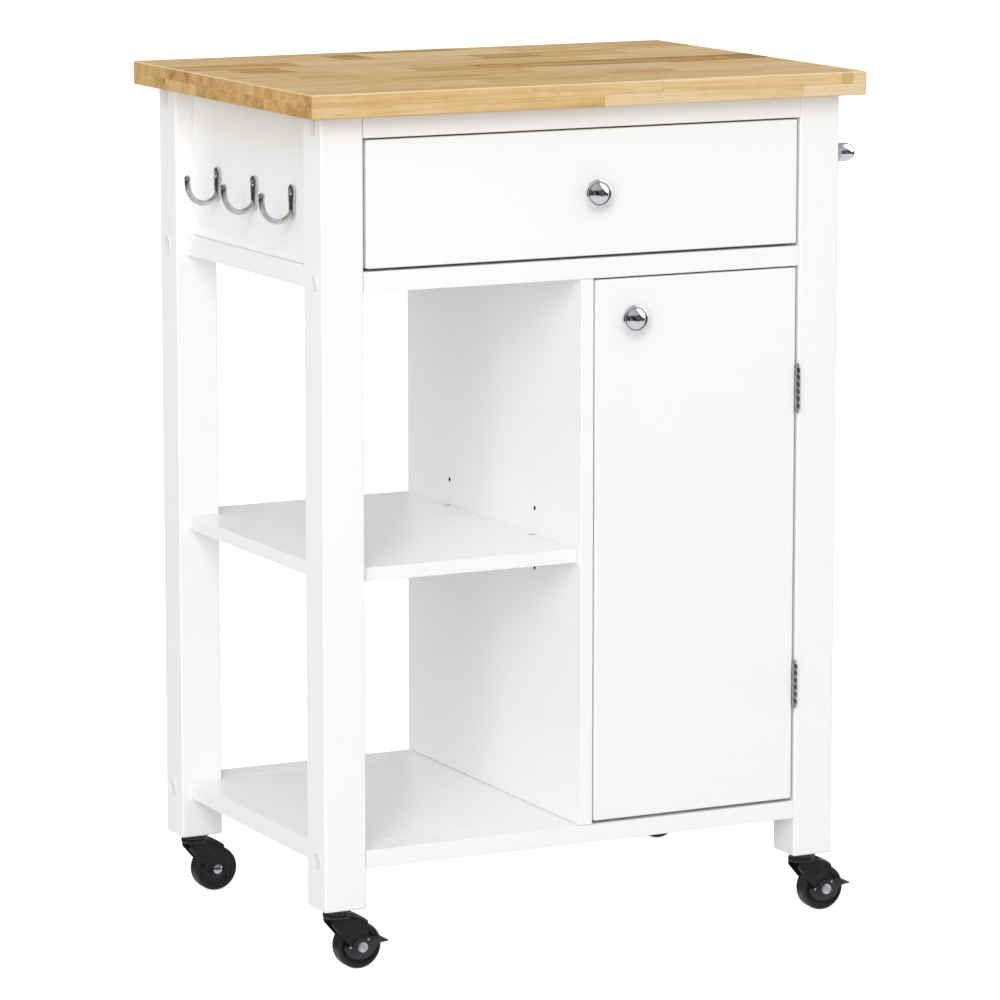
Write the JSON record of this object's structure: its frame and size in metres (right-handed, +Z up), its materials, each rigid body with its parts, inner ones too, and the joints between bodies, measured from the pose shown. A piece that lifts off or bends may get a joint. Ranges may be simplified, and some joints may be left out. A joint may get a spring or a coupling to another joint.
{
  "type": "kitchen island cart",
  "caption": "Rolling kitchen island cart: butcher-block top on posts, drawer, open shelf bay, cupboard, side hooks, towel bar and swivel casters.",
  "frame": {"origin": "middle of the whole object's footprint box, on the floor", "axes": "+X to the right seen from the front, +Y to the back, +Z up; the drawer and the door face -Y"},
  "size_m": [0.6764, 0.464, 0.914],
  "materials": {
    "butcher_block": "clear satin lacquer on edge-glued pale hardwood staves",
    "white_paint": "satin white paint on board and solid posts",
    "drawer_board": "matt white foil on board",
    "chrome": "polished chrome plate",
    "hinge_steel": "dark nickel plate",
    "zinc_steel": "zinc-plated pressed sheet",
    "black_steel": "black-coated pressed sheet",
    "black_plastic": "moulded black nylon"
  },
  "bodies": {
    "frame": {"worktop": "butcher_block", "leg_front_left": "white_paint", "leg_front_right": "white_paint", "leg_back_left": "white_paint", "leg_back_right": "white_paint", "caster_front_left_stem": "black_steel", "caster_front_right_stem": "black_steel", "caster_back_left_stem": "black_steel", "caster_back_right_stem": "black_steel", "front_top_rail": "white_paint", "front_middle_rail": "white_paint", "front_bottom_rail": "white_paint", "back_top_rail": "white_paint", "back_middle_rail": "white_paint", "back_bottom_rail": "white_paint", "middle_deck": "white_paint", "bottom_deck": "white_paint", "open_shelf": "white_paint", "cupboard_shelf": "white_paint", "divider": "white_paint", "left_upper_panel": "white_paint", "right_upper_panel": "white_paint", "right_lower_panel": "white_paint", "upper_back_panel": "white_paint", "cupboard_back": "white_paint", "runner_left_cabinet": "zinc_steel", "runner_right_cabinet": "zinc_steel", "magnetic_catch": "black_plastic", "hinge_lower_leg_leaf": "hinge_steel", "hinge_upper_leg_leaf": "hinge_steel", "hook_back": "chrome", "hook_middle": "chrome", "hook_front": "chrome", "towel_bar": "chrome", "towel_bracket_front": "chrome", "towel_bracket_back": "chrome"},
    "drawer": {"drawer_front": "white_paint", "drawer_left_side": "drawer_board", "drawer_right_side": "drawer_board", "drawer_back": "drawer_board", "drawer_bottom": "drawer_board", "drawer_knob": "chrome", "runner_left_drawer": "zinc_steel", "runner_right_drawer": "zinc_steel"},
    "door": {"door_panel": "white_paint", "door_knob": "chrome", "catch_strike": "zinc_steel", "hinge_lower_door_leaf": "hinge_steel", "hinge_upper_door_leaf": "hinge_steel"},
    "caster_front_left_swivel": {"caster_front_left_fork": "black_steel"},
    "caster_front_left_roller": {"caster_front_left_wheel": "black_plastic"},
    "caster_front_left_pedal": {"caster_front_left_brake": "black_steel"},
    "caster_front_right_swivel": {"caster_front_right_fork": "black_steel"},
    "caster_front_right_roller": {"caster_front_right_wheel": "black_plastic"},
    "caster_front_right_pedal": {"caster_front_right_brake": "black_steel"},
    "caster_back_left_swivel": {"caster_back_left_fork": "black_steel"},
    "caster_back_left_roller": {"caster_back_left_wheel": "black_plastic"},
    "caster_back_right_swivel": {"caster_back_right_fork": "black_steel"},
    "caster_back_right_roller": {"caster_back_right_wheel": "black_plastic"}
  },
  "joints": [
    {"name": "drawer_slide", "type": "slide", "parent": "frame", "child": "drawer", "axis": [0, -1, 0], "range_m": [0, 0.29]},
    {"name": "door_hinge", "type": "hinge", "parent": "frame", "child": "door", "pos_m": [0.23502, -0.2118, 0.418], "axis": [0, 0, 1], "range_deg": [0, 170]},
    {"name": "caster_front_left_turn", "type": "hinge", "parent": "frame", "child": "caster_front_left_swivel", "pos_m": [-0.29463, -0.187, 0.0607], "axis": [0, 0, 1], "continuous": true},
    {"name": "caster_front_left_roll", "type": "hinge", "parent": "caster_front_left_swivel", "child": "caster_front_left_roller", "pos_m": [-0.27263, -0.187, 0.02479], "axis": [0, 1, 0], "continuous": true},
    {"name": "caster_front_left_lock", "type": "hinge", "parent": "caster_front_left_swivel", "child": "caster_front_left_pedal", "pos_m": [-0.27263, -0.187, 0.02479], "axis": [0, 1, 0], "range_deg": [0, 14]},
    {"name": "caster_front_right_turn", "type": "hinge", "parent": "frame", "child": "caster_front_right_swivel", "pos_m": [0.26037, -0.187, 0.0607], "axis": [0, 0, 1], "continuous": true},
    {"name": "caster_front_right_roll", "type": "hinge", "parent": "caster_front_right_swivel", "child": "caster_front_right_roller", "pos_m": [0.28237, -0.187, 0.02479], "axis": [0, 1, 0], "continuous": true},
    {"name": "caster_front_right_lock", "type": "hinge", "parent": "caster_front_right_swivel", "child": "caster_front_right_pedal", "pos_m": [0.28237, -0.187, 0.02479], "axis": [0, 1, 0], "range_deg": [0, 14]},
    {"name": "caster_back_left_turn", "type": "hinge", "parent": "frame", "child": "caster_back_left_swivel", "pos_m": [-0.29463, 0.187, 0.0607], "axis": [0, 0, 1], "continuous": true},
    {"name": "caster_back_left_roll", "type": "hinge", "parent": "caster_back_left_swivel", "child": "caster_back_left_roller", "pos_m": [-0.27263, 0.187, 0.02479], "axis": [0, 1, 0], "continuous": true},
    {"name": "caster_back_right_turn", "type": "hinge", "parent": "frame", "child": "caster_back_right_swivel", "pos_m": [0.26037, 0.187, 0.0607], "axis": [0, 0, 1], "continuous": true},
    {"name": "caster_back_right_roll", "type": "hinge", "parent": "caster_back_right_swivel", "child": "caster_back_right_roller", "pos_m": [0.28237, 0.187, 0.02479], "axis": [0, 1, 0], "continuous": true}
  ]
}
